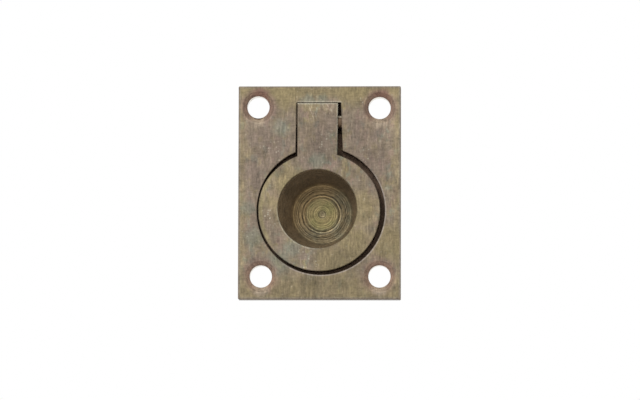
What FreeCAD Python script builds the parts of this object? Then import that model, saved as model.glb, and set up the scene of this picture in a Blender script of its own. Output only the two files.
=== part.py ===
import FreeCAD, Part
import math
import os

import Sketcher

NEAR = 1e-5  # two lengths count as equal when they differ by less than this

# A small flush ring pull: a plate with a keyhole recess, a flat ring that lies in it, and the
# pin that the ring turns on. X runs to the right, Z up, and the front faces -Y. The origin is
# the centre of the plate's back face, so the plate is at Y < 0 and the cup behind it at Y > 0.
# Depths are measured from the plate's front face. All lengths are millimetres.

FRONT = "-sizes.plate_thickness"
RING_FRONT_Y = f"{FRONT} + sizes.ring_sink"
RING_BACK_Y = f"{RING_FRONT_Y} + sizes.ring_thickness"
PIN_Y = f"{RING_FRONT_Y} + sizes.ring_thickness / 2"
LEDGE_Y = f"{RING_BACK_Y} + sizes.ring_back_gap"
FLOOR_Y = f"{FRONT} + sizes.cup_depth"
LEDGE_BACK_Y = f"{LEDGE_Y} + sizes.ledge_wall"
CUP_BACK_Y = f"{FLOOR_Y} + sizes.cup_back_wall"
SLOT_TOP = "(sizes.plate_height / 2 - sizes.slot_top_margin)"
PIN_Z = f"({SLOT_TOP} - sizes.pin_below_slot_top)"
POCKET_Y = f"{PIN_Y} + sizes.pin_below_slot_top + sizes.pocket_back_gap"
CUP_X = "sizes.recess_right"
CUP_Z = "-sizes.recess_drop"
RING_X = f"({CUP_X} - sizes.ring_shift_left)"
RING_Z = f"({CUP_Z} + sizes.ring_rise)"
RING_RADIUS = "(sizes.recess_radius - sizes.ring_gap)"
TONGUE_LEFT = "(sizes.slot_left - sizes.tongue_left_gap)"
TONGUE_RIGHT = "(sizes.slot_right - sizes.tongue_right_gap)"

SIZES = (
    # The plate, and the round of its front edge and corners
    ("plate_width", 38.0),
    ("plate_height", 50.0),
    ("plate_thickness", 4.0),
    ("plate_corner", 0.25),
    ("plate_edge_round", 0.15),
    # The screw holes: the left pair leans, its upper hole outwards and its lower one inwards,
    # and the upper left one also sits a little high
    ("screw_side_margin", 4.96),
    ("screw_end_margin", 5.21),
    ("screw_pattern_rise", 0.16),
    ("screw_left_lean", 0.35),
    ("screw_upper_left_rise", 0.2),
    ("screw_hole_diameter", 5.2),
    ("countersink_diameter", 7.2),
    ("countersink_angle", 90.0),
    # The round recess, whose centre is a little right of the plate's and well below it
    ("recess_radius", 15.0),
    ("recess_right", 0.32),
    ("recess_drop", 4.28),
    ("ledge_wall", 1.8),
    ("recess_wall", 1.8),
    ("recess_edge_wear", 0.12),
    # The turned finger cup below the ledge. Its floor is a flat disc with a groove and a ridge
    # round it, then a wider hollow that runs up into the wall with a soft heel.
    ("cup_mouth_radius", 10.6),
    ("cup_mouth_wear", 0.4),
    ("cup_depth", 9.8),
    ("cup_floor_radius", 7.1),
    ("cup_floor_rise", 0.35),
    ("cup_heel_round", 2.0),
    ("cup_side_wall", 2.2),
    ("cup_back_wall", 2.2),
    ("cup_back_bevel", 0.8),
    ("groove_radius", 4.2),
    ("groove_width", 0.6),
    ("groove_depth", 0.2),
    ("ridge_outside_groove", 0.72),
    ("ridge_width", 0.6),
    ("ridge_height", 0.12),
    ("hollow_inside_rim", 0.83),
    ("hollow_depth", 0.1),
    ("dimple_radius", 1.08),
    ("dimple_depth", 0.25),
    # The slot for the tongue: its sides lean outwards from its top to the recess's centre
    ("slot_top_margin", 3.81),
    ("slot_left", 5.42),
    ("slot_right", 5.0),
    ("slot_left_flare", 0.42),
    ("slot_right_flare", 0.95),
    ("slot_corner_round", 0.2),
    # The undercut of the slot's top behind a thin lip, which lets the square tail turn
    ("slot_lip", 0.3),
    ("undercut_rise", 0.32),
    ("undercut_ahead_of_pin", 0.9),
    # The deep pocket that the tail swings into, and the block around it
    ("pocket_back_gap", 0.45),
    ("pocket_stop_gap", 0.85),
    ("block_side_wall", 2.0),
    ("block_top_wall", 1.8),
    ("block_back_wall", 1.8),
    ("block_corner", 2.0),
    ("block_draft", 3.0),
    # The hinge pin, driven in from the plate's left edge
    ("pin_diameter", 2.8),
    ("pin_below_slot_top", 4.34),
    ("pin_seat_right", 3.4),
    ("pin_running_clearance", 0.05),
    # The ring, its place in the recess, and its tongue. Its shoulders beside the tongue are filed
    # to a flatter arc, whose radius is longer than the ring's and whose centre is lower.
    ("ring_thickness", 3.8),
    ("ring_sink", 0.1),
    ("ring_back_gap", 0.3),
    ("ring_gap", 0.7),
    ("ring_shift_left", 0.39),
    ("ring_rise", 0.13),
    ("shoulder_extra_radius", 0.53),
    ("shoulder_drop", 1.17),
    ("finger_hole_radius", 9.26),
    ("finger_hole_left", 0.43),
    ("finger_hole_rise", 0.39),
    ("ring_edge_wear", 0.16),
    ("tongue_left_gap", 0.16),
    ("tongue_right_gap", 0.7),
    ("tongue_right_taper", 0.17),
    ("tongue_tip_gap", 0.1),
    ("tail_front_round", 0.3),
    ("tail_back_round", 0.3),
)


def make_sheet(doc):
    """The driving sizes, one named cell each."""
    sheet = doc.addObject("Spreadsheet::Sheet", "sizes")
    for row, (name, number) in enumerate(SIZES, start=1):
        sheet.set(f"A{row}", name)
        sheet.set(f"B{row}", str(number))
        sheet.setAlias(f"B{row}", name)
    doc.recompute()
    return sheet


def number(thing, expression):
    """What an expression of the sizes comes to now."""
    return float(thing.evalExpression(expression))


def make_body(doc, name):
    body = doc.addObject("PartDesign::Body", name)
    body.Label = name
    return body


def make_sketch(body, name, role, offset="0"):
    """A sketch on one of the body's own origin planes, moved along the plane's normal."""
    plane = next(item for item in body.Origin.OriginFeatures if item.Role == role)
    sketch = body.newObject("Sketcher::SketchObject", name)
    sketch.AttachmentSupport = [(plane, "")]
    sketch.MapMode = "FlatFace"
    sketch.setExpression("AttachmentOffset.Base.z", offset)
    return sketch


def bind(sketch, constraint, name, expression):
    """Adds a constraint and ties its number to an expression of the sizes."""
    sketch.renameConstraint(sketch.addConstraint(constraint), name)
    sketch.setExpression(f"Constraints.{name}", expression)


def place(sketch, geometry, end, name, x, y):
    """Fixes a point of the sketch at x and y."""
    for kind, expression in (("DistanceX", x), ("DistanceY", y)):
        size = number(sketch, expression)
        fixed = Sketcher.Constraint(kind, -1, 1, geometry, end, size)
        bind(sketch, fixed, f"{name}_{kind[-1].lower()}", expression)


def add_circle(sketch, name, x, y, radius):
    centre = FreeCAD.Vector(number(sketch, x), number(sketch, y), 0)
    size = number(sketch, radius)
    circle = Part.Circle(centre, FreeCAD.Vector(0, 0, 1), size)
    index = sketch.addGeometry(circle, False)
    place(sketch, index, 3, name, x, y)
    bind(sketch, Sketcher.Constraint("Radius", index, size), f"{name}_radius", radius)


def corner_arc(before, corner, after, radius):
    """The arc that rounds a corner, and whether the outline turns left there."""
    back = (before - corner).normalize()
    ahead = (after - corner).normalize()
    half = back.getAngle(ahead) / 2
    centre = corner + (back + ahead).normalize() * (radius / math.sin(half))
    first = corner + back * (radius / math.tan(half))
    last = corner + ahead * (radius / math.tan(half))
    turns_left = (corner - before).cross(after - corner).z > 0
    ends = (first, last) if turns_left else (last, first)
    angles = [math.atan2(point.y - centre.y, point.x - centre.x) for point in ends]
    circle = Part.Circle(centre, FreeCAD.Vector(0, 0, 1), radius)
    return Part.ArcOfCircle(circle, angles[0], angles[1]), first, last, turns_left


def add_outline(sketch, corners):
    """A closed outline. A corner is (name, x, y), or (name, x, y, radius) where it is rounded."""
    flat = FreeCAD.Vector
    points = [flat(number(sketch, c[1]), number(sketch, c[2]), 0) for c in corners]
    count = len(corners)
    starts = list(points)
    ends = list(points)
    arcs = {}
    for i, corner in enumerate(corners):
        if len(corner) == 4:
            size = number(sketch, corner[3])
            arcs[i] = corner_arc(points[i - 1], points[i], points[(i + 1) % count], size)
            ends[i] = arcs[i][1]
            starts[i] = arcs[i][2]
    lines = []
    for i in range(count):
        line = Part.LineSegment(starts[i], ends[(i + 1) % count])
        lines.append(sketch.addGeometry(line, False))
    for i, corner in enumerate(corners):
        before = lines[i - 1]
        after = lines[i]
        if i not in arcs:
            sketch.addConstraint(Sketcher.Constraint("Coincident", before, 2, after, 1))
            place(sketch, after, 1, corner[0], corner[1], corner[2])
            continue
        arc, _, _, turns_left = arcs[i]
        round_index = sketch.addGeometry(arc, False)
        first, last = (1, 2) if turns_left else (2, 1)
        sketch.addConstraint(Sketcher.Constraint("Tangent", before, 2, round_index, first))
        sketch.addConstraint(Sketcher.Constraint("Tangent", after, 1, round_index, last))
        mark = sketch.addGeometry(Part.Point(points[i]), True)
        sketch.addConstraint(Sketcher.Constraint("PointOnObject", mark, 1, before))
        sketch.addConstraint(Sketcher.Constraint("PointOnObject", mark, 1, after))
        place(sketch, mark, 1, corner[0], corner[1], corner[2])
        size = number(sketch, corner[3])
        bind(sketch, Sketcher.Constraint("Radius", round_index, size), f"{corner[0]}_round", corner[3])


def pad(body, name, sketch, length, backwards=False):
    feature = body.newObject("PartDesign::Pad", name)
    feature.Profile = sketch
    feature.setExpression("Length", length)
    feature.Reversed = backwards
    return feature


def pocket(body, name, sketch, length):
    feature = body.newObject("PartDesign::Pocket", name)
    feature.Profile = sketch
    feature.setExpression("Length", length)
    return feature


def pocket_through(body, name, sketch):
    feature = body.newObject("PartDesign::Pocket", name)
    feature.Profile = sketch
    feature.Type = "ThroughAll"
    return feature


def turn(body, kind, name, sketch):
    """A solid or a cut of revolution about the sketch's upright axis."""
    feature = body.newObject(f"PartDesign::{kind}", name)
    feature.Profile = sketch
    feature.ReferenceAxis = (sketch, ["V_Axis"])
    feature.Angle = 360
    return feature


def round_edges(body, name, base, radius, chosen):
    """Rounds the edges of the last feature that a test picks."""
    body.Document.recompute()
    edges = [f"Edge{i}" for i, edge in enumerate(base.Shape.Edges, start=1) if chosen(edge)]
    feature = body.newObject("PartDesign::Fillet", name)
    feature.Base = (base, edges)
    feature.setExpression("Radius", radius)
    return feature


def bevel_edges(body, name, base, size, chosen):
    """Bevels the edges of the last feature that a test picks."""
    body.Document.recompute()
    edges = [f"Edge{i}" for i, edge in enumerate(base.Shape.Edges, start=1) if chosen(edge)]
    feature = body.newObject("PartDesign::Chamfer", name)
    feature.Base = (base, edges)
    feature.setExpression("Size", size)
    return feature


def is_flat_at(edge, y):
    """Whether an edge lies in the plane Y = y."""
    return abs(edge.BoundBox.YMin - y) < NEAR and abs(edge.BoundBox.YMax - y) < NEAR


def is_circle_at(edge, y, radius):
    """Whether an edge is a circle, or an arc, of this radius in the plane Y = y."""
    return is_flat_at(edge, y) and hasattr(edge.Curve, "Radius") and abs(edge.Curve.Radius - radius) < NEAR


def drill_screw_holes(body, corners):
    """The countersunk screw holes at the named corners of the plate."""
    body.Document.recompute()
    sketch = make_sketch(body, "screw_hole_places", "XZ_Plane", "sizes.plate_thickness")
    for name in corners:
        upper = "upper" in name
        left = "left" in name
        x = "sizes.plate_width / 2 - sizes.screw_side_margin"
        if left:
            x = f"-({x}) {'-' if upper else '+'} sizes.screw_left_lean"
        end = "(sizes.plate_height / 2 - sizes.screw_end_margin)"
        z = f"sizes.screw_pattern_rise {'+' if upper else '-'} {end}"
        if upper and left:
            z += " + sizes.screw_upper_left_rise"
        add_circle(sketch, name, x, z, "sizes.screw_hole_diameter / 2")
    body.Document.recompute()
    holes = body.newObject("PartDesign::Hole", "screw_holes")
    holes.Profile = sketch
    holes.ThreadType = 0
    holes.DepthType = "ThroughAll"
    holes.setExpression("Diameter", "sizes.screw_hole_diameter")
    holes.HoleCutType = "Countersink"
    holes.HoleCutCustomValues = True
    holes.setExpression("HoleCutDiameter", "sizes.countersink_diameter")
    holes.setExpression("HoleCutCountersinkAngle", "sizes.countersink_angle")
    return holes


def slot_side(side, z):
    """Where the left or right wall of the slot stands at a height. It leans in a straight line."""
    lean = f"sizes.slot_{side}_flare * ({SLOT_TOP} - ({z})) / ({SLOT_TOP} + sizes.recess_drop)"
    if side == "left":
        return f"-sizes.slot_left - {lean}"
    return f"sizes.slot_right + {lean}"


def slot_outline(foot):
    """The slot's four corners, from its top down to a foot height."""
    return (
        ("foot_left", slot_side("left", foot), foot),
        ("foot_right", slot_side("right", foot), foot),
        ("top_right", "sizes.slot_right", SLOT_TOP, "sizes.slot_corner_round"),
        ("top_left", "-sizes.slot_left", SLOT_TOP, "sizes.slot_corner_round"),
    )


def add_plate(body):
    sketch = make_sketch(body, "plate_outline", "XZ_Plane")
    half_width = "sizes.plate_width / 2"
    half_height = "sizes.plate_height / 2"
    corner = "sizes.plate_corner"
    outline = (
        ("lower_left", f"-{half_width}", f"-{half_height}", corner),
        ("lower_right", half_width, f"-{half_height}", corner),
        ("upper_right", half_width, half_height, corner),
        ("upper_left", f"-{half_width}", half_height, corner),
    )
    add_outline(sketch, outline)
    plate = pad(body, "plate", sketch, "sizes.plate_thickness")
    front = number(plate, FRONT)
    return round_edges(body, "plate_edge", plate, "sizes.plate_edge_round", lambda e: is_flat_at(e, front))


def add_boss(body):
    """The stepped boss behind the plate: a shallow drum round the ledge, then the cup's cone."""
    sketch = make_sketch(body, "boss_profile", "XY_Plane", CUP_Z)
    sketch.setExpression("AttachmentOffset.Base.x", CUP_X)
    root = f"{FRONT} / 2"
    drum = "sizes.recess_radius + sizes.recess_wall"
    outline = (
        ("root_axis", "0", root),
        ("root_rim", drum, root),
        ("drum_rim", drum, LEDGE_BACK_Y),
        ("cone_foot", "sizes.cup_mouth_radius + sizes.cup_side_wall / 2", LEDGE_BACK_Y),
        ("cone_back", "sizes.cup_floor_radius + sizes.cup_side_wall", CUP_BACK_Y),
        ("back_axis", "0", CUP_BACK_Y),
    )
    add_outline(sketch, outline)
    boss = turn(body, "Revolution", "boss", sketch)
    rims = [(number(boss, LEDGE_BACK_Y), number(boss, drum)),
            (number(boss, CUP_BACK_Y), number(boss, "sizes.cup_floor_radius + sizes.cup_side_wall"))]
    chosen = lambda edge: any(is_circle_at(edge, y, radius) for y, radius in rims)
    bevel_edges(body, "boss_edges", boss, "sizes.cup_back_bevel", chosen)


def add_hinge_block(body):
    """The drafted block behind the slot. Its foot runs into the boss."""
    sketch = make_sketch(body, "block_outline", "XZ_Plane")
    foot = f"{CUP_Z} + sizes.cup_floor_radius / 2"
    top = f"{SLOT_TOP} + sizes.block_top_wall"
    left = f"{slot_side('left', foot)} - sizes.block_side_wall"
    right = f"{slot_side('right', foot)} + sizes.block_side_wall"
    outline = (
        ("foot_left", left, foot),
        ("foot_right", right, foot),
        ("top_right", right, top, "sizes.block_corner"),
        ("top_left", left, top, "sizes.block_corner"),
    )
    add_outline(sketch, outline)
    height = f"{POCKET_Y} + sizes.block_back_wall"
    block = pad(body, "hinge_block", sketch, height, backwards=True)
    block.setExpression("TaperAngle", "-sizes.block_draft")


def cut_recess(body):
    """The round recess with its ledge, and the finger cup with its turned floor."""
    sketch = make_sketch(body, "recess_profile", "XY_Plane", CUP_Z)
    sketch.setExpression("AttachmentOffset.Base.x", CUP_X)
    ridge = "sizes.groove_radius + sizes.ridge_outside_groove"
    outline = (
        ("axis_front", "0", FRONT),
        ("centre_dimple", "0", f"{FLOOR_Y} + sizes.dimple_depth"),
        ("dimple_rim", "sizes.dimple_radius", FLOOR_Y),
        ("groove_inner", "sizes.groove_radius - sizes.groove_width / 2", FLOOR_Y),
        ("groove_bottom", "sizes.groove_radius", f"{FLOOR_Y} + sizes.groove_depth"),
        ("ridge_crest", ridge, f"{FLOOR_Y} - sizes.ridge_height"),
        ("ridge_outer", f"{ridge} + sizes.ridge_width / 2", FLOOR_Y),
        ("hollow", "sizes.cup_floor_radius - sizes.hollow_inside_rim", f"{FLOOR_Y} + sizes.hollow_depth"),
        ("floor_rim", "sizes.cup_floor_radius", f"{FLOOR_Y} - sizes.cup_floor_rise", "sizes.cup_heel_round"),
        ("cup_mouth", "sizes.cup_mouth_radius", LEDGE_Y),
        ("ledge_rim", "sizes.recess_radius", LEDGE_Y),
        ("recess_rim", "sizes.recess_radius", FRONT),
    )
    add_outline(sketch, outline)
    recess = turn(body, "Groove", "recess", sketch)
    mouth = (number(recess, LEDGE_Y), number(recess, "sizes.cup_mouth_radius"))
    chosen = lambda edge: is_circle_at(edge, *mouth)
    bevel_edges(body, "cup_mouth_edge", recess, "sizes.cup_mouth_wear", chosen)


def cut_slot(body):
    """The slot down to the ledge, and the deeper pocket that the tail swings into.

    The lower edge of the pocket stops the ring when it has swung a little past square, and its
    top is undercut for the corner of the tail."""
    sketch = make_sketch(body, "slot_shape", "XZ_Plane", "sizes.plate_thickness")
    add_outline(sketch, slot_outline(CUP_Z))
    pocket(body, "slot", sketch, f"{LEDGE_Y} + sizes.plate_thickness")
    sketch = make_sketch(body, "pocket_shape", "XZ_Plane", "sizes.plate_thickness")
    add_outline(sketch, slot_outline(f"{PIN_Z} - sizes.ring_thickness / 2 - sizes.pocket_stop_gap"))
    pocket(body, "tail_pocket", sketch, f"{POCKET_Y} + sizes.plate_thickness")
    sketch = make_sketch(body, "undercut_profile", "YZ_Plane", "sizes.slot_right")
    top = f"{SLOT_TOP} + sizes.undercut_rise"
    profile = (
        ("lip_foot", f"{FRONT} + sizes.slot_lip", PIN_Z),
        ("back_foot", POCKET_Y, PIN_Z),
        ("back_top", POCKET_Y, top),
        ("crest", f"{PIN_Y} - sizes.undercut_ahead_of_pin", top),
        ("lip", f"{FRONT} + sizes.slot_lip", SLOT_TOP),
    )
    add_outline(sketch, profile)
    return pocket(body, "slot_undercut", sketch, "sizes.slot_left + sizes.slot_right")


def wear_recess_edge(body, last):
    """The slightly worn front edge of the recess and the slot."""
    front = number(last, FRONT)
    side = number(last, "sizes.plate_width / 2 - sizes.plate_edge_round") - NEAR
    end = number(last, "sizes.plate_height / 2 - sizes.plate_edge_round") - NEAR

    def chosen(edge):
        box = edge.BoundBox
        inside = max(abs(box.XMin), abs(box.XMax)) < side and max(abs(box.ZMin), abs(box.ZMax)) < end
        return is_flat_at(edge, front) and inside

    return bevel_edges(body, "recess_edge", last, "sizes.recess_edge_wear", chosen)


def bore_for_pin(body):
    """The pin's hole, from its blind end right of the slot out through the plate's left edge."""
    sketch = make_sketch(body, "pin_bore_end", "YZ_Plane", "sizes.slot_right + sizes.pin_seat_right")
    add_circle(sketch, "bore", PIN_Y, PIN_Z, "sizes.pin_diameter / 2")
    return pocket_through(body, "pin_bore", sketch)


def make_flush_body(doc):
    body = make_body(doc, "flush_body")
    add_plate(body)
    add_boss(body)
    add_hinge_block(body)
    cut_recess(body)
    last = cut_slot(body)
    wear_recess_edge(body, last)
    bore_for_pin(body)
    drill_screw_holes(body, ("upper_left", "upper_right", "lower_left", "lower_right"))
    return body


def add_ring_outline(sketch):
    """The ring's rim: a circle, cut across the top by the flatter arc of its shoulders."""
    radius = number(sketch, RING_RADIUS)
    flatter = number(sketch, f"{RING_RADIUS} + sizes.shoulder_extra_radius")
    drop = number(sketch, "sizes.shoulder_drop")
    height = (flatter ** 2 - radius ** 2 - drop ** 2) / (2 * drop)
    half_width = math.sqrt(radius ** 2 - height ** 2)
    middle = FreeCAD.Vector(number(sketch, RING_X), number(sketch, RING_Z), 0)
    facing = FreeCAD.Vector(0, 0, 1)
    rim = Part.Circle(middle, facing, radius)
    top = Part.Circle(middle - FreeCAD.Vector(0, drop, 0), facing, flatter)
    right_of_rim = math.atan2(height, half_width)
    right_of_top = math.atan2(height + drop, half_width)
    rim_arc = Part.ArcOfCircle(rim, math.pi - right_of_rim, 2 * math.pi + right_of_rim)
    top_arc = Part.ArcOfCircle(top, right_of_top, math.pi - right_of_top)
    lower = sketch.addGeometry(rim_arc, False)
    upper = sketch.addGeometry(top_arc, False)
    sketch.addConstraint(Sketcher.Constraint("Coincident", lower, 2, upper, 1))
    sketch.addConstraint(Sketcher.Constraint("Coincident", upper, 2, lower, 1))
    place(sketch, lower, 3, "rim", RING_X, RING_Z)
    place(sketch, upper, 3, "shoulders", RING_X, f"{RING_Z} - sizes.shoulder_drop")
    bind(sketch, Sketcher.Constraint("Radius", lower, radius), "rim_radius", RING_RADIUS)
    bind(sketch, Sketcher.Constraint("Radius", upper, flatter), "shoulders_radius",
         f"{RING_RADIUS} + sizes.shoulder_extra_radius")


def make_pull_ring(doc):
    """The flat ring, its finger hole bored off centre, and the tongue with its short tail."""
    body = make_body(doc, "pull_ring")
    disc = make_sketch(body, "ring_outline", "XZ_Plane", f"-({RING_BACK_Y})")
    add_ring_outline(disc)
    pad(body, "ring_disc", disc, "sizes.ring_thickness")
    tongue = make_sketch(body, "tongue_outline", "XZ_Plane", f"-({RING_BACK_Y})")
    tip = f"{SLOT_TOP} - sizes.tongue_tip_gap"
    outline = (
        ("foot_left", f"-{TONGUE_LEFT}", RING_Z),
        ("foot_right", f"{TONGUE_RIGHT} - 2 * sizes.tongue_right_taper", RING_Z),
        ("tip_right", TONGUE_RIGHT, tip),
        ("tip_left", f"-{TONGUE_LEFT}", tip),
    )
    add_outline(tongue, outline)
    pad(body, "tongue", tongue, "sizes.ring_thickness")
    hole = make_sketch(body, "finger_hole_outline", "XZ_Plane", f"-({RING_FRONT_Y})")
    add_circle(hole, "hole", f"{RING_X} - sizes.finger_hole_left", f"{RING_Z} + sizes.finger_hole_rise",
               "sizes.finger_hole_radius")
    last = pocket_through(body, "finger_hole", hole)
    front_y = number(body, RING_FRONT_Y)
    back_y = number(body, RING_BACK_Y)
    tip_z = number(body, tip)

    def at_tip(y):
        return lambda edge: is_flat_at(edge, y) and edge.BoundBox.ZMin > tip_z - NEAR

    last = bevel_edges(body, "ring_front_edge", last, "sizes.ring_edge_wear",
                       lambda edge: is_flat_at(edge, front_y) and not at_tip(front_y)(edge))
    last = round_edges(body, "tail_front_edge", last, "sizes.tail_front_round", at_tip(front_y))
    round_edges(body, "tail_back_edge", last, "sizes.tail_back_round", at_tip(back_y))
    bore = make_sketch(body, "tongue_bore_place", "YZ_Plane", f"{TONGUE_RIGHT} + sizes.ring_thickness")
    add_circle(bore, "bore", PIN_Y, PIN_Z, "sizes.pin_diameter / 2 + sizes.pin_running_clearance")
    pocket_through(body, "tongue_bore", bore)
    return body


def make_hinge_pin(doc):
    """The pin, dressed flush with the plate's left edge. The upper left screw hole, drilled after
    the pin was fitted, bites into its side and so keeps it from working out."""
    body = make_body(doc, "hinge_pin")
    sketch = make_sketch(body, "pin_section", "YZ_Plane", "sizes.slot_right + sizes.pin_seat_right")
    add_circle(sketch, "pin", PIN_Y, PIN_Z, "sizes.pin_diameter / 2")
    length = "sizes.plate_width / 2 + sizes.slot_right + sizes.pin_seat_right"
    pad(body, "pin", sketch, length, backwards=True)
    drill_screw_holes(body, ("upper_left",))
    return body


def check_and_write(doc, bodies):
    """Stops if any feature failed, then writes each piece to its own file."""
    doc.recompute()
    for item in doc.Objects:
        if "Invalid" in item.State or "Error" in item.State:
            raise RuntimeError(f"{item.Name} failed: {item.State}")
    os.makedirs("parts", exist_ok=True)
    for body in bodies:
        shape = body.Shape
        if shape.isNull() or not shape.isValid() or len(shape.Solids) != 1:
            raise RuntimeError(f"{body.Label} is not one valid solid")
        shape.exportStep(f"parts/{body.Label}.step")
        print(f"{body.Label}: {shape.Volume:.1f} cubic mm, {len(shape.Faces)} faces")


def main():
    doc = FreeCAD.newDocument("flush_ring_pull")
    make_sheet(doc)
    check_and_write(doc, (make_flush_body(doc), make_pull_ring(doc), make_hinge_pin(doc)))


main()
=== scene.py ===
import math

import bpy
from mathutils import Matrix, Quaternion, Vector

# A small flush ring pull in old, unpolished brass. Its plate, ring and pin are the frame's own
# solids with softened edges, and this script gives them their finish. Lengths are metres where
# they set an object, and millimetres in the materials. Colours are 0 to 255 as a screen shows them.

MM = 0.001

# The softening of the edges, in metres and degrees: its width and steps, the angles that count
# as flat and as sharp, and how near two points lie that are welded
EDGE_SOFTNESS = 0.06 * MM
EDGE_STEPS = 3
FLAT_ANGLE = 0.5
SHARP_ANGLE = 28.0
SAME_POINT = 1e-6

# Where things are, seen from the front in millimetres: X to the right, Z up, Y to the back.
# A depth is measured from the plate's front.
PLATE_HALF_WIDTH = 19.0
PLATE_HALF_HEIGHT = 25.0
PLATE_FRONT = -4.0
SCREW_CENTRES = ((-14.39, 20.15), (14.04, 19.95), (-13.69, -19.63), (14.04, -19.63))
SCREW_HOLE_RADIUS = 2.6
SCREW_RIM_RADIUS = 3.6
SCREW_CONE_DEPTH = 1.0
CUP_CENTRE = (0.32, -4.28)
RECESS_RADIUS = 15.0
LEDGE_DEPTH = 4.2
CUP_FLOOR = 5.8
CUP_FLOOR_RADIUS = 7.1
CREST_RADIUS = 6.75
RIDGE_FLANK_RADIUS = 4.75
GROOVE_RADIUS = 4.2
INNER_FLOOR_RADIUS = 3.4
SLOT_TOP = 21.19
SLOT_HALF_WIDTH = 5.2
TONGUE_TIP = 21.09
TONGUE_RIGHT = 4.3
TONGUE_FOOT = 8.5
RING_CENTRE = (-0.07, -4.15)
RING_RADIUS = 14.3
RING_BACK_DEPTH = 3.9
RING_HOLE_CENTRE = (-0.5, -3.76)
RING_HOLE_RADIUS = 9.26
PIN_HEIGHT = 16.85

# The cup's colour ends inside its wall, at a radius that shrinks with the depth
CUP_REACH_AT_FRONT = 12.4
CUP_REACH_BY_DEPTH = -0.45

# The hinge pocket's painted shade ends inside the walls round it, and at its foot where the recess begins
POCKET_SHADE_HALF_WIDTH = 5.6
POCKET_SHADE_TOP = 22.4
POCKET_SHADE_FOOT = 11.0
POCKET_SHADE_BACK = 3.3

# From this far below the plate's middle to this far above it, the looks of the lower screw
# holes change into those of the upper ones
SCREW_CHANGE_HEIGHT = 15.0

# Where the old finish has marks: the centre and the reach of each patch
SPECK_PATCHES = (((-11.6, 9.8), 3.2), ((-9.6, 6.6), 2.0), ((11.6, 8.6), 2.6), ((-11.6, -5.6), 3.4),
                 ((-3.0, -16.2), 4.0), ((10.2, 21.0), 2.4), ((-16.8, -9.0), 2.2), ((1.5, 12.0), 3.0))
GREY_PATCHES = (((-2.6, 21.9), 1.8), ((0.6, 21.9), 1.8), ((-9.6, -16.4), 4.0), ((-15.6, -10.5), 3.2),
                ((-6.5, -13.2), 2.8), ((-9.0, 15.2), 2.8), ((-0.8, 7.4), 2.6), ((-16.8, -3.6), 2.4))
LIGHT_PATCHES = (((-2.6, 20.4), 2.4), ((2.0, 20.4), 2.4), ((-6.8, -10.8), 4.5), ((-4.5, -17.0), 3.0),
                 ((16.8, 15.0), 4.0), ((-10.0, -1.0), 5.5), ((10.5, -4.0), 6.0))
DARK_PATCHES = (((0.3, 11.0), 5.5), ((6.1, -16.5), 4.5), ((-2.0, -21.5), 4.0))
OLIVE_PATCHES = (((9.4, -4.0), 6.5), ((8.0, -12.0), 6.5), ((-7.0, 2.0), 6.0), ((3.0, -16.0), 6.0),
                 ((16.0, -12.0), 6.0), ((8.0, 23.4), 5.0), ((-8.0, 23.4), 5.0), ((-10.8, -4.0), 5.0))
MAUVE_PATCHES = (((-1.5, 12.0), 6.0), ((1.5, 16.5), 4.5), ((-12.0, 12.0), 7.0), ((-15.5, 5.0), 4.5),
                 ((11.0, 14.0), 5.5), ((12.5, 8.0), 5.0), ((-13.0, -6.0), 4.0))
SCRATCH_PATCHES = (((1.8, 19.4), 2.2), ((-1.6, 18.8), 2.4))

# Painted shade above each screw hole and painted light below it: how far from its centre, and their reach
SHADE_ABOVE = (0.6, 2.6)
SHADE_ABOVE_REACH = 2.8
LIGHT_BELOW = (0.0, -3.0)
LIGHT_BELOW_REACH = 2.4

# How the marks run: patches and streaks are drawn out upwards or level, the scratches lean by
# some degrees, and the turning marks lie this far apart
SLIGHTLY_UPRIGHT = (1.0, 1.0, 1.6)
UPRIGHT = (1.0, 1.0, 6.0)
LEVEL = (6.0, 1.0, 1.0)
SCRATCH_LEAN = 22.0
TURNING_PITCH = 0.48
TURNING_SPACING = 0.42

# How the surfaces reflect, and how deep their fine relief is
BRASS_METALLIC = 0.7
BRASS_ROUGHNESS = 0.5
SCREW_CONE_ROUGHNESS = 0.8
BORE_ROUGHNESS = 0.1
PIN_METALLIC = 0.6
PIN_ROUGHNESS = 0.6
FINE_RELIEF = 0.02
PIN_RELIEF = 0.01
TURNED_RELIEF = 0.08
CAST_RELIEF = 0.15
RIM_WEAR_DEPTH = 0.03
RIM_WEAR_WIDTH = 0.6

# Each material's own place in the noise
BODY_SEED = 1.0
RING_SEED = 2.0
PIN_SEED = 3.0

# The camera stands 1.07 m away, a little below the plate and a little to its right
CAMERA_DISTANCE = 1.07
CAMERA_AZIMUTH = 2.0
CAMERA_ELEVATION = -5.3
CAMERA_ROLL = 0.14
CAMERA_AIM = Vector((0.14, -4.0, -1.77)) * MM
CAMERA_LENS = 257.4
CAMERA_SENSOR = 36.0
CAMERA_REACH = 20.0

# The soft light's place, size and power, and the pale floor far below
KEY_PLACE = (-0.42, -0.95, 0.55)
KEY_SIZE = 0.45
KEY_POWER = 8.1
FLOOR_DROP = 0.8
FLOOR_SIZE = 6.0
FLOOR_ROUGHNESS = 0.9
FLOOR_PALE = (0.8, 0.8, 0.8, 1.0)
WHITE = (1.0, 1.0, 1.0, 1.0)


def linear(red, green, blue):
    """A screen colour as the amounts of light that the shader takes."""
    parts = [part / 255 for part in (red, green, blue)]
    light = [part / 12.92 if part <= 0.04045 else ((part + 0.055) / 1.055) ** 2.4 for part in parts]
    return (*light, 1.0)


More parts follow.
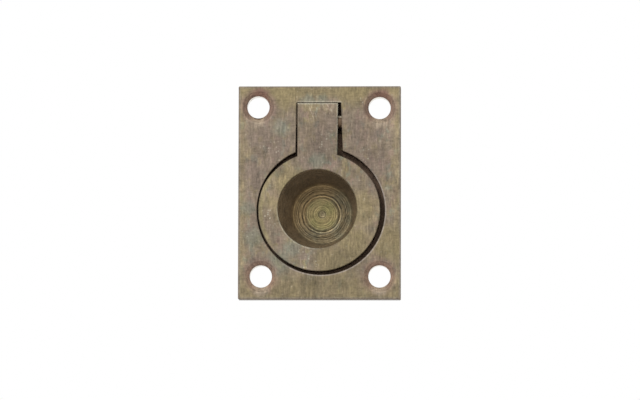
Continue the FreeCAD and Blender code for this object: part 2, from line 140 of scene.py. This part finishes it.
TAN = linear(113, 101, 86)
MAUVE = linear(110, 96, 86)
ROSE = linear(118, 98, 88)
GREEN_GREY = linear(104, 108, 95)
STRAW = linear(124, 113, 76)
OLIVE = linear(118, 106, 77)
GREY = linear(110, 106, 95)
PINK = linear(118, 97, 87)
# A darker and a lighter copy of the pink round the screw holes: painted shade and painted light
SHADED_PINK = linear(114, 87, 76)
LIT_PINK = linear(137, 124, 107)
CREAM = linear(160, 149, 130)
BRIGHT = linear(176, 170, 152)
# Bare drilled brass in the screw bores, painted light enough to read bright, and the pin's painted
# highlight
BARE_AND_HIGHLIGHT = linear(216, 206, 184)
PIT = linear(76, 65, 55)
# The dark brown that paints the shade in the gaps, the recess and the hinge pocket
GAP_SHADE = linear(92, 74, 60)
SHADE_BROWN = linear(137, 120, 96)
GOLD = linear(119, 111, 73)
RUST_BROWN = linear(138, 117, 84)
CAST = linear(104, 90, 68)
TARNISH = linear(94, 76, 58)
# The painted highlight on the recess's lower right edge
BRIM_HIGHLIGHT = linear(150, 140, 134)
# The painted highlight along the ring's left edge
PALE_GOLD = linear(131, 121, 86)


class Paint:
    """Adds shader nodes to one material. Every length that its methods take is in millimetres."""

    def __init__(self, name, seed):
        self.material = bpy.data.materials.new(name)
        self.material.use_nodes = True
        self.tree = self.material.node_tree
        self.tree.nodes.clear()
        self.seed = seed
        place = self.node("ShaderNodeTexCoord").outputs["Object"]
        self.place = self.shade(place, 1 / MM)
        self.x, self.y, self.z = self.split(self.place)
        self.from_middle = self.math("ABSOLUTE", self.x)
        self.depth = self.math("SUBTRACT", self.y, PLATE_FRONT)

    def node(self, kind):
        return self.tree.nodes.new(kind)

    def put(self, socket, thing):
        """Gives a socket a link or a plain value."""
        if isinstance(thing, bpy.types.NodeSocket):
            self.tree.links.new(thing, socket)
        elif socket.type == "VECTOR":
            socket.default_value = thing[:3]
        else:
            socket.default_value = thing

    def split(self, vector):
        node = self.node("ShaderNodeSeparateXYZ")
        self.put(node.inputs[0], vector)
        return node.outputs

    def math(self, operation, first, second=0.0, third=0.0):
        node = self.node("ShaderNodeMath")
        node.operation = operation
        for socket, thing in zip(node.inputs, (first, second, third)):
            self.put(socket, thing)
        return node.outputs[0]

    def product(self, *factors):
        """All the factors multiplied together."""
        result = factors[0]
        for factor in factors[1:]:
            result = self.math("MULTIPLY", result, factor)
        return result

    def most(self, masks):
        """The strongest of several masks."""
        result = masks[0]
        for mask in masks[1:]:
            result = self.math("MAXIMUM", result, mask)
        return result

    def opposite(self, mask):
        """A mask that is 1 where the given one is 0."""
        return self.math("SUBTRACT", 1.0, mask)

    def band(self, amount, low, high, start=0.0, end=1.0):
        """Goes smoothly from start to end as the amount goes from low to high."""
        node = self.node("ShaderNodeMapRange")
        node.interpolation_type = "SMOOTHSTEP"
        for name, thing in (("Value", amount), ("From Min", low), ("From Max", high),
                            ("To Min", start), ("To Max", end)):
            self.put(node.inputs[name], thing)
        return node.outputs[0]

    def fade(self, amount, low, high, strength=1.0):
        """Goes smoothly from the strength to 0 as the amount goes from low to high."""
        return self.band(amount, low, high, strength, 0.0)

    def ridge(self, amount, middle, width):
        """A soft mask that is 1 where the amount is at the middle and 0 from a width away."""
        away = self.math("ABSOLUTE", self.math("SUBTRACT", amount, middle))
        return self.fade(away, 0.0, width)

    def line(self, amount, middle, width, change):
        """A lightness of 1 with a soft line at the middle, where it differs by the change."""
        return self.math("MULTIPLY_ADD", self.ridge(amount, middle, width), change, 1.0)

    def mix(self, share, first, second):
        node = self.node("ShaderNodeMix")
        node.data_type = "RGBA"
        self.put(node.inputs[0], share)
        self.put(node.inputs[6], first)
        self.put(node.inputs[7], second)
        return node.outputs[2]

    def tint(self, colour, other, mask, strength):
        """A colour turned to another under a mask, and by no more than the strength."""
        return self.mix(self.product(mask, strength), colour, other)

    def shade(self, colour, amount):
        """A colour or a place multiplied by a plain amount."""
        node = self.node("ShaderNodeVectorMath")
        node.operation = "SCALE"
        self.put(node.inputs[0], colour)
        self.put(node.inputs["Scale"], amount)
        return node.outputs[0]

    def noise(self, size, stretch=(1.0, 1.0, 1.0), detail=3.0, roughness=0.55, shift=0.0, lean=0.0):
        """Noise whose patches are about size long, drawn out by stretch and leaned by degrees."""
        place = self.place
        if lean:
            turned = self.node("ShaderNodeVectorRotate")
            turned.rotation_type = "Y_AXIS"
            turned.inputs["Angle"].default_value = math.radians(lean)
            self.put(turned.inputs["Vector"], place)
            place = turned.outputs[0]
        stretched = self.node("ShaderNodeVectorMath")
        stretched.operation = "MULTIPLY"
        self.put(stretched.inputs[0], place)
        stretched.inputs[1].default_value = [1 / (size * part) for part in stretch]
        node = self.node("ShaderNodeTexNoise")
        node.noise_dimensions = "4D"
        self.put(node.inputs["Vector"], stretched.outputs[0])
        node.inputs["W"].default_value = self.seed + shift
        node.inputs["Scale"].default_value = 1.0
        node.inputs["Detail"].default_value = detail
        node.inputs["Roughness"].default_value = roughness
        return node.outputs["Fac"]

    def rings(self, radius, spacing):
        """Noise that changes only with the radius, as the marks of turning do."""
        node = self.node("ShaderNodeTexNoise")
        node.noise_dimensions = "1D"
        self.put(node.inputs["W"], self.math("MULTIPLY_ADD", radius, 1 / spacing, self.seed))
        node.inputs["Scale"].default_value = 1.0
        node.inputs["Detail"].default_value = 3.0
        node.inputs["Roughness"].default_value = 0.7
        return node.outputs["Fac"]

    def level(self, *noises):
        """A lightness about 1 from pairs of a noise and how strongly it tells."""
        total = 1.0
        for noise, strength in noises:
            total = self.math("MULTIPLY_ADD", self.math("SUBTRACT", noise, 0.5), strength, total)
        return total

    def uneven(self, noise, strength):
        """A noise about 0, which makes the edge of a mask uneven when it is added to a distance."""
        return self.math("SUBTRACT", self.level((noise, strength)), 1.0)

    def specks(self, spacing, radius, share, shift):
        """Small round spots, a share of those that lie about spacing apart."""
        moved = self.node("ShaderNodeVectorMath")
        moved.operation = "ADD"
        self.put(moved.inputs[0], self.place)
        moved.inputs[1].default_value = [self.seed * 7.3 + shift] * 3
        node = self.node("ShaderNodeTexVoronoi")
        self.put(node.inputs["Vector"], moved.outputs[0])
        node.inputs["Scale"].default_value = 1 / spacing
        chance = self.node("ShaderNodeSeparateColor")
        self.put(chance.inputs[0], node.outputs["Color"])
        near = self.fade(node.outputs["Distance"], 0.15 * radius / spacing, radius / spacing)
        chosen = self.math("LESS_THAN", chance.outputs[0], share)
        return self.math("MULTIPLY", near, chosen)

    def distance(self, centre):
        """How far a point is from a line that runs front to back at this X and Z."""
        across = self.math("SUBTRACT", self.x, centre[0])
        up = self.math("SUBTRACT", self.z, centre[1])
        squares = self.math("ADD", self.math("MULTIPLY", across, across), self.math("MULTIPLY", up, up))
        return self.math("SQRT", squares)

    def patches(self, places, edge):
        """A mask round several places, each a centre and a reach, with an edge that edge makes uneven."""
        masks = [self.fade(self.math("ADD", self.distance(centre), edge), 0.35 * reach, reach)
                 for centre, reach in places]
        return self.most(masks)

    def bump(self, height, depth, under=None):
        node = self.node("ShaderNodeBump")
        node.inputs["Strength"].default_value = 1.0
        node.inputs["Distance"].default_value = depth * MM
        self.put(node.inputs["Height"], height)
        if under is not None:
            self.put(node.inputs["Normal"], under)
        return node.outputs[0]

    def finish(self, colour, roughness, metallic, normal):
        shader = self.node("ShaderNodeBsdfPrincipled")
        self.put(shader.inputs["Base Color"], colour)
        self.put(shader.inputs["Roughness"], roughness)
        self.put(shader.inputs["Metallic"], metallic)
        self.put(shader.inputs["Normal"], normal)
        output = self.node("ShaderNodeOutputMaterial")
        self.tree.links.new(shader.outputs[0], output.inputs[0])
        return self.material


def plain(amount):
    """An amount as a grey, so that it can be mixed as colours are."""
    return (amount, amount, amount, 1.0)


def patina(paint):
    """The mottled tan, olive, mauve, rose, grey and straw that covers the old brass."""
    olives = paint.noise(4.5, SLIGHTLY_UPRIGHT, detail=4.0, roughness=0.62)
    colour = paint.tint(TAN, OLIVE, paint.band(olives, 0.46, 0.64), 0.6)
    mauves = paint.noise(3.5, SLIGHTLY_UPRIGHT, detail=4.0, roughness=0.6, shift=6.0)
    colour = paint.tint(colour, MAUVE, paint.band(mauves, 0.48, 0.64), 0.6)
    roses = paint.noise(1.6, SLIGHTLY_UPRIGHT, roughness=0.6, shift=45.0)
    colour = paint.tint(colour, ROSE, paint.band(roses, 0.53, 0.68), 0.6)
    greys = paint.noise(1.9, SLIGHTLY_UPRIGHT, roughness=0.6, shift=3.0)
    colour = paint.tint(colour, GREEN_GREY, paint.band(greys, 0.53, 0.68), 0.6)
    straws = paint.noise(1.5, SLIGHTLY_UPRIGHT, roughness=0.6, shift=48.0)
    return paint.tint(colour, STRAW, paint.band(straws, 0.55, 0.7), 0.5)


def linished(paint, colour, worked=1.0):
    """Upright scratches, fainter level ones, grain and clouds. Returns the colour and a height.

    Worked is 1 where the surface was rubbed down and 0 where it is as it was cast.
    """
    streaks = paint.noise(0.38, UPRIGHT, roughness=0.68, shift=9.0)
    level_streaks = paint.noise(0.3, LEVEL, detail=2.0, roughness=0.7, shift=12.0)
    where = paint.noise(3.0, detail=2.0, shift=36.0)
    upright = paint.product(paint.band(where, 0.35, 0.6, 0.6, 1.6), worked)
    lying = paint.product(paint.band(where, 0.4, 0.65, 0.9, 0.1), worked)
    grain = paint.noise(0.55, roughness=0.75, shift=15.0)
    clouds = paint.noise(2.2, roughness=0.6, shift=18.0)
    lightness = paint.level((streaks, upright), (level_streaks, lying), (grain, 1.0), (clouds, 1.0))
    fresh = paint.product(paint.band(streaks, 0.54, 0.68), upright, 0.12)
    height = paint.math("ADD", paint.product(streaks, worked), grain)
    return paint.shade(colour, paint.math("ADD", lightness, fresh)), height


def patched(paint, colour, edge):
    """The larger olive, mauve and grey patches of the plate's and ring's front."""
    colour = paint.tint(colour, OLIVE, paint.patches(OLIVE_PATCHES, edge), 0.75)
    colour = paint.tint(colour, MAUVE, paint.patches(MAUVE_PATCHES, edge), 0.55)
    return paint.tint(colour, GREEN_GREY, paint.patches(GREY_PATCHES, edge), 0.5)


def spotted(paint, colour, edge):
    """Groups of light specks, and stray specks and pits everywhere."""
    specks = paint.specks(spacing=0.6, radius=0.28, share=0.4, shift=3.0)
    grouped = paint.product(specks, paint.patches(SPECK_PATCHES, edge))
    colour = paint.tint(colour, BRIGHT, grouped, 0.55)
    stray = paint.specks(spacing=1.1, radius=0.3, share=0.3, shift=8.0)
    colour = paint.tint(colour, CREAM, stray, 0.35)
    pits = paint.specks(spacing=1.1, radius=0.26, share=0.2, shift=5.0)
    return paint.tint(colour, PIT, pits, 0.3)


def marked(paint, colour):
    """The patches, spots and leaning scratches of the plate's and ring's front."""
    edge = paint.uneven(paint.noise(0.8, roughness=0.7, shift=21.0), 3.0)
    colour = spotted(paint, patched(paint, colour, edge), edge)
    strokes = paint.noise(0.3, UPRIGHT, detail=1.0, shift=24.0, lean=SCRATCH_LEAN)
    scratched = paint.product(paint.band(strokes, 0.53, 0.66), paint.patches(SCRATCH_PATCHES, edge))
    colour = paint.tint(colour, CREAM, scratched, 0.55)
    lighter = paint.patches(LIGHT_PATCHES, edge)
    darker = paint.patches(DARK_PATCHES, edge)
    return paint.shade(colour, paint.level((lighter, 0.16), (darker, -0.16)))


def from_screws(paint):
    """How far a point is from the middle of the nearest screw hole."""
    nearest = paint.distance(SCREW_CENTRES[0])
    for centre in SCREW_CENTRES[1:]:
        nearest = paint.math("MINIMUM", nearest, paint.distance(centre))
    return nearest


def by_height(paint, lower, upper):
    """An amount that differs between the lower and the upper screw holes."""
    return paint.band(paint.z, -SCREW_CHANGE_HEIGHT, SCREW_CHANGE_HEIGHT, lower, upper)


def plate_face(paint):
    """The plate's front: more olive near its edges, a thin greyer line there, and lighter sides."""
    from_top = paint.math("SUBTRACT", PLATE_HALF_HEIGHT, paint.z)
    from_foot = paint.math("ADD", PLATE_HALF_HEIGHT, paint.z)
    from_side = paint.math("SUBTRACT", PLATE_HALF_WIDTH, paint.from_middle)
    olive = paint.most([paint.fade(from_top, 1.5, 4.0), paint.fade(from_foot, 3.0, 9.0, 0.8),
                        paint.fade(from_side, 0.6, 2.6, 0.6)])
    colour = paint.tint(patina(paint), OLIVE, olive, 0.8)
    from_edge = paint.math("MINIMUM", paint.math("MINIMUM", from_top, from_foot), from_side)
    colour = paint.tint(colour, GREY, paint.fade(from_edge, 0.15, 0.7), 0.6)
    at_foot = paint.band(from_foot, 5.0, 10.0, 0.97, 1.0)
    at_sides = paint.band(from_side, 1.0, 5.0, 1.15, 1.0)
    return paint.shade(colour, paint.product(at_foot, at_sides))


def painted_highlight_lines(paint, colour, radius):
    """Painted highlights: light lines along the slot's top and along the recess's lower right edge."""
    # Painted highlight on the lip above the slot and on the slot's top edge
    slot_top_highlight = paint.product(paint.fade(paint.z, SLOT_TOP + 0.1, SLOT_TOP + 0.5),
                                paint.band(paint.z, SLOT_TOP - 0.3, SLOT_TOP - 0.1),
                                paint.fade(paint.from_middle, SLOT_HALF_WIDTH - 0.4, SLOT_HALF_WIDTH + 0.4))
    colour = paint.tint(colour, BRIGHT, slot_top_highlight, 0.4)
    # Painted highlight on the recess's lower right edge, which faces the light
    low_right = paint.band(paint.math("SUBTRACT", paint.x, paint.z), 6.0, 12.0)
    brim_highlight = paint.product(paint.ridge(radius, RECESS_RADIUS + 0.18, 0.26), low_right)
    return paint.tint(colour, BRIM_HIGHLIGHT, brim_highlight, 0.6)


def recess_shade(paint, radius):
    """Painted shade in the recess, seen through the gap round the ring: lighter on its wall and darker in
    the corner at the wall's foot.
    """
    corner = paint.product(paint.band(radius, RECESS_RADIUS - 2.2, RECESS_RADIUS - 0.8),
                           paint.band(paint.depth, LEDGE_DEPTH - 2.0, LEDGE_DEPTH - 0.2))
    return paint.shade(GAP_SHADE, paint.band(corner, 0.0, 1.0, 1.3, 0.85))


def countersinks(paint, colour, nearest):
    """Pink round the screw holes, redder and darker above them as painted shade, lighter below them and on
    their cones as painted light.
    """
    edge = paint.uneven(paint.noise(1.5, shift=27.0), 2.0)
    halo = paint.fade(paint.math("ADD", nearest, edge), SCREW_RIM_RADIUS - 0.8, SCREW_RIM_RADIUS + 1.4)
    colour = paint.tint(colour, PINK, halo, 0.8)
    above = [((x + SHADE_ABOVE[0], z + SHADE_ABOVE[1]), SHADE_ABOVE_REACH) for x, z in SCREW_CENTRES]
    below = [((x + LIGHT_BELOW[0], z + LIGHT_BELOW[1]), LIGHT_BELOW_REACH) for x, z in SCREW_CENTRES]
    # Painted shade above each hole, stronger at the upper holes, and painted light below it
    colour = paint.tint(colour, SHADED_PINK, paint.patches(above, edge), by_height(paint, 0.1, 0.75))
    colour = paint.tint(colour, LIT_PINK, paint.patches(below, edge), 0.85)
    # Painted light makes the cones lighter, more so at the lower holes; the bore's edge is a little darker
    cone_light = paint.band(nearest, SCREW_RIM_RADIUS - 0.5, SCREW_RIM_RADIUS + 0.5,
                      by_height(paint, 1.68, 1.5), 1.0)
    brink = paint.band(nearest, SCREW_HOLE_RADIUS + 0.1, SCREW_HOLE_RADIUS + 0.4, 0.9, 1.0)
    return paint.shade(colour, paint.product(cone_light, brink))


def floor_lightness(paint, radius, wobbled, turned):
    """How light the cup's floor is: its turning marks, and painted light and shade on its groove, its
    ridge's flank and the crest near its rim.
    """
    strength = paint.band(paint.noise(1.4, detail=2.0, shift=42.0), 0.35, 0.6, 1.0, 4.0)
    outwards = paint.band(radius, INNER_FLOOR_RADIUS, CUP_FLOOR_RADIUS - 0.1, 1.0, 0.95)
    # Painted light in the groove, painted shade on the ridge's flank and a painted highlight on the crest
    groove = paint.line(radius, GROOVE_RADIUS, width=0.4, change=0.1)
    ridge_flank = paint.line(radius, RIDGE_FLANK_RADIUS, width=0.3, change=-0.18)
    crest = paint.line(radius, CREST_RADIUS, width=0.25, change=0.25)
    lightness = paint.product(paint.level((turned, strength)), outwards, groove, ridge_flank, crest)
    passes = paint.math("SINE", paint.math("MULTIPLY", wobbled, 2 * math.pi / TURNING_PITCH))
    fainter_outwards = paint.band(radius, INNER_FLOOR_RADIUS, GROOVE_RADIUS + 0.2, 0.065, 0.025)
    pass_strength = paint.product(fainter_outwards, strength)
    return paint.math("MULTIPLY_ADD", passes, pass_strength, lightness)


def cup_floor(paint, radius, wobbled, turned):
    """Gold-green with a mauve middle, further out dull olive, and at the upper left rust brown, the colour
    of the wall's shadow painted on.
    """
    above_middle = paint.math("SUBTRACT", paint.z, CUP_CENTRE[1])
    # Painted shadow: the cup's upper left wall casts its shadow on this part of the floor
    shadowed_upper_left = paint.band(paint.math("SUBTRACT", above_middle, paint.x), -2.0, 6.0)
    dull_olive = paint.shade(paint.mix(0.5, OLIVE, GREY), 0.8)
    outer = paint.mix(shadowed_upper_left, dull_olive, RUST_BROWN)
    further_out = paint.band(radius, INNER_FLOOR_RADIUS - 0.4, GROOVE_RADIUS + 0.2)
    colour = paint.tint(GOLD, outer, further_out, 0.85)
    browner = paint.band(paint.noise(3.0, shift=33.0), 0.4, 0.6)
    colour = paint.tint(colour, RUST_BROWN, browner, 0.35)
    colour = paint.tint(colour, MAUVE, paint.fade(radius, 0.5, 1.3), 0.4)
    return paint.shade(colour, floor_lightness(paint, radius, wobbled, turned))


def cup_colour(paint, radius, wobbled, turned):
    """The turned cup's floor, and its brown wall, with painted shade darkening its upper half."""
    # Painted shade: the wall's upper half faces down, away from the light
    upper_shade = paint.band(paint.z, CUP_CENTRE[1] + 1.0, CUP_CENTRE[1] + 7.0, 1.0, 0.68)
    mottled = paint.level((paint.noise(3.0, shift=39.0), 0.7))
    wall_colour = paint.shade(SHADE_BROWN, paint.product(mottled, upper_shade))
    wall = paint.band(radius, CUP_FLOOR_RADIUS - 0.3, CUP_FLOOR_RADIUS + 0.6)
    return paint.mix(wall, cup_floor(paint, radius, wobbled, turned), wall_colour)


def in_cup_mask(paint, radius):
    """The inside of the cup, without the ledge round its mouth and the outside of its wall."""
    reach = paint.math("MULTIPLY_ADD", paint.depth, CUP_REACH_BY_DEPTH, CUP_REACH_AT_FRONT)
    return paint.product(paint.fade(paint.math("SUBTRACT", radius, reach), 0.0, 0.2),
                         paint.fade(paint.y, CUP_FLOOR + 0.8, CUP_FLOOR + 1.0),
                         paint.band(paint.depth, LEDGE_DEPTH - 0.2, LEDGE_DEPTH + 0.1))


def in_pocket_mask(paint, sunk):
    """The inside of the pocket that the ring's tail turns in."""
    sides = paint.fade(paint.from_middle, POCKET_SHADE_HALF_WIDTH, POCKET_SHADE_HALF_WIDTH + 0.3)
    return paint.product(sides, paint.band(paint.z, POCKET_SHADE_FOOT - 0.4, POCKET_SHADE_FOOT),
                         paint.fade(paint.z, POCKET_SHADE_TOP, POCKET_SHADE_TOP + 0.2),
                         paint.fade(paint.y, POCKET_SHADE_BACK, POCKET_SHADE_BACK + 0.3), sunk)


def outside_mask(paint):
    """The plate's four narrow sides and the very edge of its front."""
    return paint.most([paint.band(paint.from_middle, PLATE_HALF_WIDTH - 0.4, PLATE_HALF_WIDTH - 0.2),
                       paint.band(paint.math("ABSOLUTE", paint.z), PLATE_HALF_HEIGHT - 0.4,
                                  PLATE_HALF_HEIGHT - 0.2)])


def behind_mask(paint, radius):
    """The plate's back and all that stands out behind it."""
    outside_recess = paint.band(radius, RECESS_RADIUS + 0.2, RECESS_RADIUS + 0.4)
    return paint.most([paint.band(paint.y, 0.5, 0.8),
                       paint.product(paint.band(paint.y, -0.15, -0.05), outside_recess)])


def bore_mask(paint, nearest):
    """The screw holes' straight bores, behind their cones."""
    return paint.product(paint.fade(nearest, SCREW_HOLE_RADIUS + 0.05, SCREW_HOLE_RADIUS + 0.15),
                         paint.band(paint.depth, SCREW_CONE_DEPTH - 0.05, SCREW_CONE_DEPTH + 0.05))


def turning_radius(paint, radius):
    """The radius that the turning marks follow, which wobbles, so that they are no true circles."""
    wobble = paint.level((paint.noise(1.6, detail=2.0, shift=30.0), 0.5),
                         (paint.noise(0.5, detail=2.0, shift=54.0), 0.2))
    return paint.math("ADD", radius, wobble)


def front_colour(paint, radius, nearest, in_recess):
    """The plate's front with painted highlight lines, the recess painted in shade, and the countersinks."""
    colour = painted_highlight_lines(paint, marked(paint, plate_face(paint)), radius)
    colour = paint.mix(in_recess, colour, recess_shade(paint, radius))
    return countersinks(paint, colour, nearest)


def body_roughness(paint, in_screw_hole, in_bore):
    """Duller in the screw holes' cones, and smooth in their bores."""
    roughness = paint.mix(in_screw_hole, plain(BRASS_ROUGHNESS), plain(SCREW_CONE_ROUGHNESS))
    return paint.mix(in_bore, roughness, plain(BORE_ROUGHNESS))


def body_relief(paint, nearest, behind):
    """The worn rims of the screw holes and the grain of the cast back."""
    from_rim = paint.math("ABSOLUTE", paint.math("SUBTRACT", nearest, SCREW_RIM_RADIUS))
    rim = paint.math("MAXIMUM", paint.opposite(paint.math("DIVIDE", from_rim, RIM_WEAR_WIDTH)), 0.0)
    worn = paint.bump(paint.product(rim, rim, -1.0), RIM_WEAR_DEPTH)
    cast = paint.product(paint.noise(1.0, detail=4.0, roughness=0.6, shift=51.0), behind)
    return paint.bump(cast, CAST_RELIEF, worn)


def body_brass():
    """The plate with its recess and its turned cup, and the rougher cast back."""
    paint = Paint("body_brass", BODY_SEED)
    nearest = from_screws(paint)
    radius = paint.distance(CUP_CENTRE)
    wobbled = turning_radius(paint, radius)
    turned = paint.rings(wobbled, TURNING_SPACING)
    sunk = paint.band(paint.depth, 0.18, 0.6)
    in_screw_hole = paint.fade(nearest, SCREW_RIM_RADIUS, SCREW_RIM_RADIUS + 0.3)
    in_recess = paint.product(sunk, paint.opposite(in_screw_hole))
    in_bore = bore_mask(paint, nearest)
    in_cup = in_cup_mask(paint, radius)
    behind = behind_mask(paint, radius)
    colour = front_colour(paint, radius, nearest, in_recess)
    colour = paint.mix(outside_mask(paint), colour, TAN)
    colour = paint.mix(behind, colour, CAST)
    # Painted shade in the hinge pocket, seen through the slot
    colour = paint.mix(in_pocket_mask(paint, sunk), colour, GAP_SHADE)
    colour = paint.mix(in_cup, colour, cup_colour(paint, radius, wobbled, turned))
    colour, height = linished(paint, colour, paint.opposite(behind))
    # The bores: partly the bare metal's colour and partly painted light
    colour = paint.mix(in_bore, colour, BARE_AND_HIGHLIGHT)
    roughness = body_roughness(paint, in_screw_hole, in_bore)
    relief = body_relief(paint, nearest, behind)
    relief = paint.bump(paint.product(turned, in_cup), TURNED_RELIEF, relief)
    return paint.finish(colour, roughness, BRASS_METALLIC, paint.bump(height, FINE_RELIEF, relief))


def ring_face(paint, from_hole):
    """The ring's front, with painted highlights along its tongue's tip and right side, round its hole and
    along its left edge.
    """
    colour = marked(paint, patina(paint))
    # Painted highlights along the tongue's tip and its right side
    tip = paint.band(paint.z, TONGUE_TIP - 0.35, TONGUE_TIP - 0.15)
    right_side_highlight = paint.product(paint.band(paint.x, TONGUE_RIGHT - 0.35, TONGUE_RIGHT - 0.15),
                               paint.band(paint.z, TONGUE_FOOT, TONGUE_FOOT + 2.0))
    colour = paint.tint(colour, BRIGHT, paint.math("MAXIMUM", tip, right_side_highlight), 0.8)
    # A painted highlight on the lower left rim of the hole
    hole_rim_highlight = paint.product(paint.ridge(from_hole, RING_HOLE_RADIUS + 0.15, 0.3),
                             paint.fade(paint.math("ADD", paint.x, paint.z), -15.0, -12.0))
    colour = paint.tint(colour, BRIGHT, hole_rim_highlight, 0.35)
    # A painted highlight along the ring's left edge
    left_edge_highlight = paint.product(paint.ridge(paint.distance(RING_CENTRE), RING_RADIUS - 0.6, 0.9),
                              paint.fade(paint.x, -13.0, -9.0))
    return paint.tint(colour, PALE_GOLD, left_edge_highlight, 0.65)


def ring_brass():
    """The ring: a worn front with painted highlights, sides painted in shade, a brown hole and a dark back.
    """
    paint = Paint("ring_brass", RING_SEED)
    from_hole = paint.distance(RING_HOLE_CENTRE)
    outside_hole = paint.band(from_hole, RING_HOLE_RADIUS + 0.3, RING_HOLE_RADIUS + 0.6)
    # The ring's outer sides, seen in the gap round it, are painted in shade; its hole's wall is brown
    side = paint.mix(outside_hole, SHADE_BROWN, GAP_SHADE)
    colour = paint.mix(paint.band(paint.depth, 0.3, 0.7), ring_face(paint, from_hole), side)
    at_back = paint.band(paint.depth, RING_BACK_DEPTH - 0.3, RING_BACK_DEPTH - 0.15)
    colour, height = linished(paint, paint.mix(at_back, colour, CAST))
    return paint.finish(colour, BRASS_ROUGHNESS, BRASS_METALLIC, paint.bump(height, FINE_RELIEF))


def pin_brass():
    """The tarnished pin, with a painted highlight along its top and painted light on its lower part."""
    paint = Paint("pin_brass", PIN_SEED)
    marks = paint.level((paint.noise(0.5, shift=2.0), 0.8))
    # A painted highlight along the pin's top
    top = paint.band(paint.z, PIN_HEIGHT + 0.7, PIN_HEIGHT + 1.1)
    # Painted light on the pin's lower part
    foot = paint.band(paint.z, PIN_HEIGHT - 1.0, PIN_HEIGHT - 0.2, 1.6, 1.0)
    colour = paint.shade(paint.mix(top, TARNISH, BARE_AND_HIGHLIGHT), paint.product(marks, foot))
    return paint.finish(colour, PIN_ROUGHNESS, PIN_METALLIC, paint.bump(marks, PIN_RELIEF))


def soften_edges(node):
    """Rounds the sharp edges of one of the frame's solids a little."""
    weld = node.modifiers.new("weld", "WELD")
    weld.merge_threshold = SAME_POINT
    flat = node.modifiers.new("flat_faces", "DECIMATE")
    flat.decimate_type = "DISSOLVE"
    flat.angle_limit = math.radians(FLAT_ANGLE)
    bevel = node.modifiers.new("worn_edges", "BEVEL")
    bevel.width = EDGE_SOFTNESS
    bevel.segments = EDGE_STEPS
    bevel.limit_method = "ANGLE"
    bevel.angle_limit = math.radians(SHARP_ANGLE)
    bevel.use_clamp_overlap = True
    bevel.harden_normals = False
    for polygon in node.data.polygons:
        polygon.use_smooth = True
    weighted = node.modifiers.new("flat_shading", "WEIGHTED_NORMAL")
    weighted.keep_sharp = False


def dress(node, material):
    """Gives one of the frame's solids a single material."""
    node.data.materials.clear()
    node.data.materials.append(material)


def make_camera():
    data = bpy.data.cameras.new("camera")
    data.lens = CAMERA_LENS
    data.sensor_width = CAMERA_SENSOR
    data.clip_end = CAMERA_REACH
    camera = bpy.data.objects.new("camera", data)
    bpy.context.scene.collection.objects.link(camera)
    azimuth = math.radians(CAMERA_AZIMUTH)
    elevation = math.radians(CAMERA_ELEVATION)
    outwards = Vector((math.sin(azimuth) * math.cos(elevation),
                       -math.cos(azimuth) * math.cos(elevation), math.sin(elevation)))
    camera.location = CAMERA_AIM + outwards * CAMERA_DISTANCE
    aimed = (-outwards).to_track_quat("-Z", "Y")
    camera.rotation_euler = (aimed @ Quaternion((0, 0, 1), math.radians(CAMERA_ROLL))).to_euler()
    bpy.context.scene.camera = camera


def make_light(name, size, power, place):
    """A soft round light that is aimed at the plate."""
    data = bpy.data.lights.new(name, "AREA")
    data.shape = "DISK"
    data.size = size
    data.energy = power
    light = bpy.data.objects.new(name, data)
    bpy.context.scene.collection.objects.link(light)
    light.location = place
    light.rotation_euler = (CAMERA_AIM - Vector(place)).to_track_quat("-Z", "Y").to_euler()


def make_studio():
    """A white surround, one soft light above the front, and a pale floor well below."""
    world = bpy.data.worlds.new("surround")
    world.use_nodes = True
    world.node_tree.nodes["Background"].inputs["Color"].default_value = WHITE
    world.node_tree.nodes["Background"].inputs["Strength"].default_value = 1.0
    bpy.context.scene.world = world
    make_light("key", KEY_SIZE, KEY_POWER, KEY_PLACE)
    bpy.ops.mesh.primitive_plane_add(size=FLOOR_SIZE, location=(0, 0, -FLOOR_DROP))
    floor = bpy.context.object
    floor.name = "floor"
    pale = bpy.data.materials.new("floor_pale")
    pale.use_nodes = True
    pale.node_tree.nodes["Principled BSDF"].inputs["Base Color"].default_value = FLOOR_PALE
    pale.node_tree.nodes["Principled BSDF"].inputs["Roughness"].default_value = FLOOR_ROUGHNESS
    floor.data.materials.append(pale)


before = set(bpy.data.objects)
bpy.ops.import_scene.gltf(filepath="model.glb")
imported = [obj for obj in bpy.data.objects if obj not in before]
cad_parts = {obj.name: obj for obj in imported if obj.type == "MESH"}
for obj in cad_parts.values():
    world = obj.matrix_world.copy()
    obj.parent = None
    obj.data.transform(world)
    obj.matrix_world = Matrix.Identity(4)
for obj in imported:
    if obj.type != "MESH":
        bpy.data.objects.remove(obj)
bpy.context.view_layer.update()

finishes = {"flush_body": body_brass(), "pull_ring": ring_brass(), "hinge_pin": pin_brass()}
for node_name, material in finishes.items():
    soften_edges(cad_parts[node_name])
    dress(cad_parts[node_name], material)

make_studio()
make_camera()
bpy.context.scene.view_settings.view_transform = "Standard"
